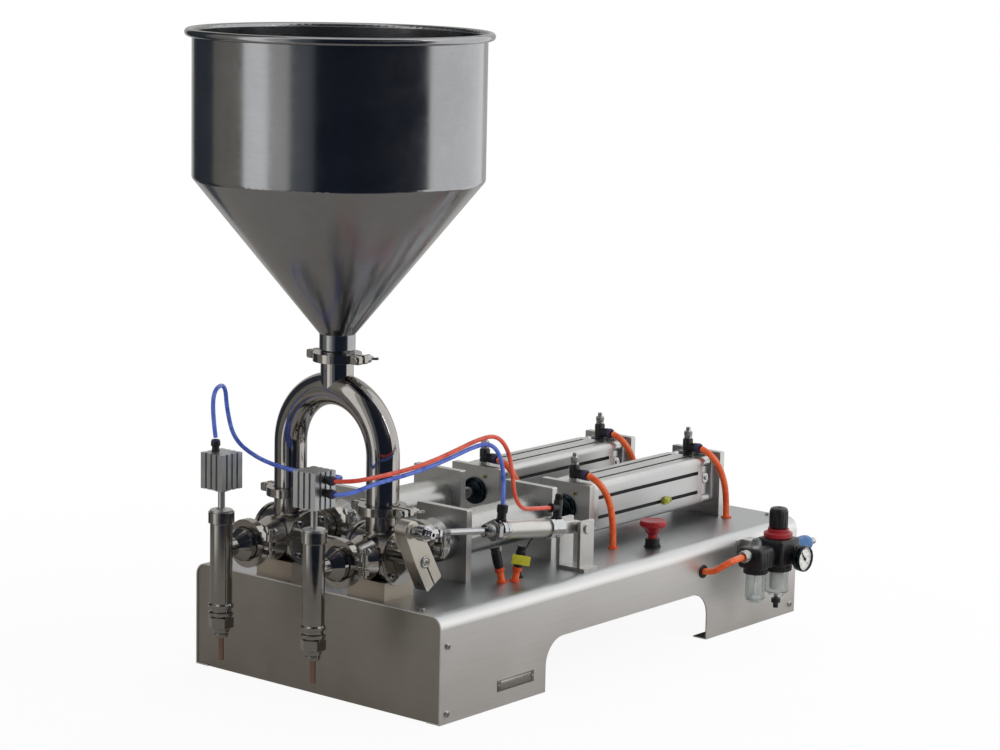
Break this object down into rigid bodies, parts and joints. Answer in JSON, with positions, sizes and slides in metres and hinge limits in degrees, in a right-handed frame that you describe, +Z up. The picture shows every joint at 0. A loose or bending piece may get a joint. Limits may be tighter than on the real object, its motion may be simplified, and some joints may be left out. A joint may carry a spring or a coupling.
{
  "type": "piston filling machine",
  "caption": "Bench-top two-head piston filling machine with a hopper, air-driven cylinders, a rotary three-way valve and stop button on a sheet metal casing.",
  "frame": {"origin": "on the table, in the middle of the front panel's foot flange", "axes": "+X to the right as seen from the nozzles, +Y from the nozzles to the rear, +Z up"},
  "size_m": [0.5536, 1.024, 0.918],
  "materials": {
    "casing": "satin sheet",
    "panel": "dark satin sheet",
    "channel": "mill sheet",
    "screw": "bright",
    "hopper": "polished sheet",
    "pipe": "mirror polished tube",
    "clamp": "polished casting",
    "seal": "white silicone",
    "valve": "polished",
    "block": "milled",
    "rotor": "white",
    "shaft": "ground",
    "barrel": "satin tube",
    "plate": "milled",
    "extrusion": "anodised",
    "casting": "die cast",
    "gland": "dark",
    "piston": "white",
    "fitting": "black",
    "nozzle": "polished tube",
    "yoke": "dark satin",
    "lever": "milled",
    "mini": "satin tube",
    "button": "red",
    "ring": "red",
    "bowl": "clear",
    "gauge": "white dial",
    "coupling": "blue",
    "sensor": "yellow green",
    "orange_tube": "orange",
    "red_tube": "red",
    "blue_tube": "blue"
  },
  "bodies": {
    "machine": {"casing": "casing", "end_panels": "panel", "deck_stiffeners": "channel", "screws": "screw", "hopper": "hopper", "feed_pipe": "pipe", "clamps": "clamp", "clamp_fasteners": "clamp", "seals": "seal", "valve_bodies": "valve", "valve_covers": "valve", "support_blocks": "block", "barrels": "barrel", "barrel_plates": "plate", "centre_plates": "plate", "cylinder_plates": "plate", "end_plates": "plate", "cylinder_tubes": "extrusion", "cylinder_heads": "casting", "rod_glands": "gland", "speed_controllers": "fitting", "nozzle_bodies": "nozzle", "nozzle_tips": "nozzle", "nozzle_yokes": "yoke", "nozzle_cylinders": "extrusion", "reversing_bracket": "plate", "stop_collar": "fitting", "filter_body": "fitting", "regulator_ring": "ring", "filter_bowls": "bowl", "gauge": "gauge", "air_coupling": "coupling", "stroke_sensor": "sensor", "tube_right_front": "orange_tube", "tube_right_rear": "orange_tube", "tube_left_front": "orange_tube", "tube_left_rear": "orange_tube", "tube_supply": "orange_tube", "tube_nozzle_red": "red_tube", "tube_nozzle_blue": "blue_tube", "tube_nozzle_left": "blue_tube", "switch_lead": "fitting", "tube_fittings": "fitting"},
    "stop_button": {"stop_button": "button"},
    "regulator_knob": {"regulator_knob": "fitting"},
    "gauge_needle": {"gauge_needle": "fitting"},
    "drain_valve": {"drain_valve": "fitting"},
    "valve_rotor": {"rotor_left": "rotor", "rotor_right": "rotor", "valve_shaft": "shaft", "lever": "lever", "lever_pin": "shaft"},
    "reversing_barrel": {"reversing_cylinder": "mini"},
    "reversing_rod": {"reversing_rod": "shaft"},
    "drive_right": {"piston_right": "piston", "drive_rod_right": "shaft"},
    "drive_left": {"piston_left": "piston", "drive_rod_left": "shaft"},
    "plunger_right": {"plunger_right": "shaft"},
    "plunger_left": {"plunger_left": "shaft"}
  },
  "joints": [
    {"name": "stop_button_press", "type": "slide", "parent": "machine", "child": "stop_button", "axis": [0, 0, -1], "range_m": [0, 0.004], "stiffness_N_per_m": 600},
    {"name": "regulator_knob_turn", "type": "hinge", "parent": "machine", "child": "regulator_knob", "pos_m": [0.275, 0.723, 0.146], "axis": [0, 0, 1], "range_deg": [0, 1080]},
    {"name": "gauge_needle_turn", "type": "hinge", "parent": "machine", "child": "gauge_needle", "pos_m": [0.275, 0.734, 0.117], "axis": [-1, 0, 0], "range_deg": [-85, 185]},
    {"name": "drain_valve_push", "type": "slide", "parent": "machine", "child": "drain_valve", "axis": [0, 0, 1], "range_m": [0, 0.003], "stiffness_N_per_m": 300},
    {"name": "valve_lever_turn", "type": "hinge", "parent": "machine", "child": "valve_rotor", "pos_m": [0, 0.028, 0.208], "axis": [-1, 0, 0], "range_deg": [0, 60]},
    {"name": "reversing_tilt", "type": "hinge", "parent": "machine", "child": "reversing_barrel", "pos_m": [0.185, 0.335, 0.211], "axis": [-1, 0, 0], "range_deg": [0, 1.47]},
    {"name": "reversing_rod_slide", "type": "slide", "parent": "reversing_barrel", "child": "reversing_rod", "axis": [0, 0.9912, -0.1323], "range_m": [0, 0.05443]},
    {"name": "drive_right_slide", "type": "slide", "parent": "machine", "child": "drive_right", "axis": [0, 1, 0], "range_m": [0, 0.15]},
    {"name": "drive_left_slide", "type": "slide", "parent": "machine", "child": "drive_left", "axis": [0, 1, 0], "range_m": [0, 0.15]},
    {"name": "nozzle_right_lift", "type": "slide", "parent": "machine", "child": "plunger_right", "axis": [0, 0, 1], "range_m": [0, 0.012]},
    {"name": "nozzle_left_lift", "type": "slide", "parent": "machine", "child": "plunger_left", "axis": [0, 0, 1], "range_m": [0, 0.012]}
  ],
  "couplings": [
    {"joint": "reversing_tilt", "follows": "valve_lever_turn", "ratio": 0.024544},
    {"joint": "reversing_rod_slide", "follows": "valve_lever_turn", "m_per_rad": 0.05197},
    {"joint": "drive_left_slide", "follows": "drive_right_slide", "ratio": 1},
    {"joint": "nozzle_left_lift", "follows": "nozzle_right_lift", "ratio": 1}
  ]
}
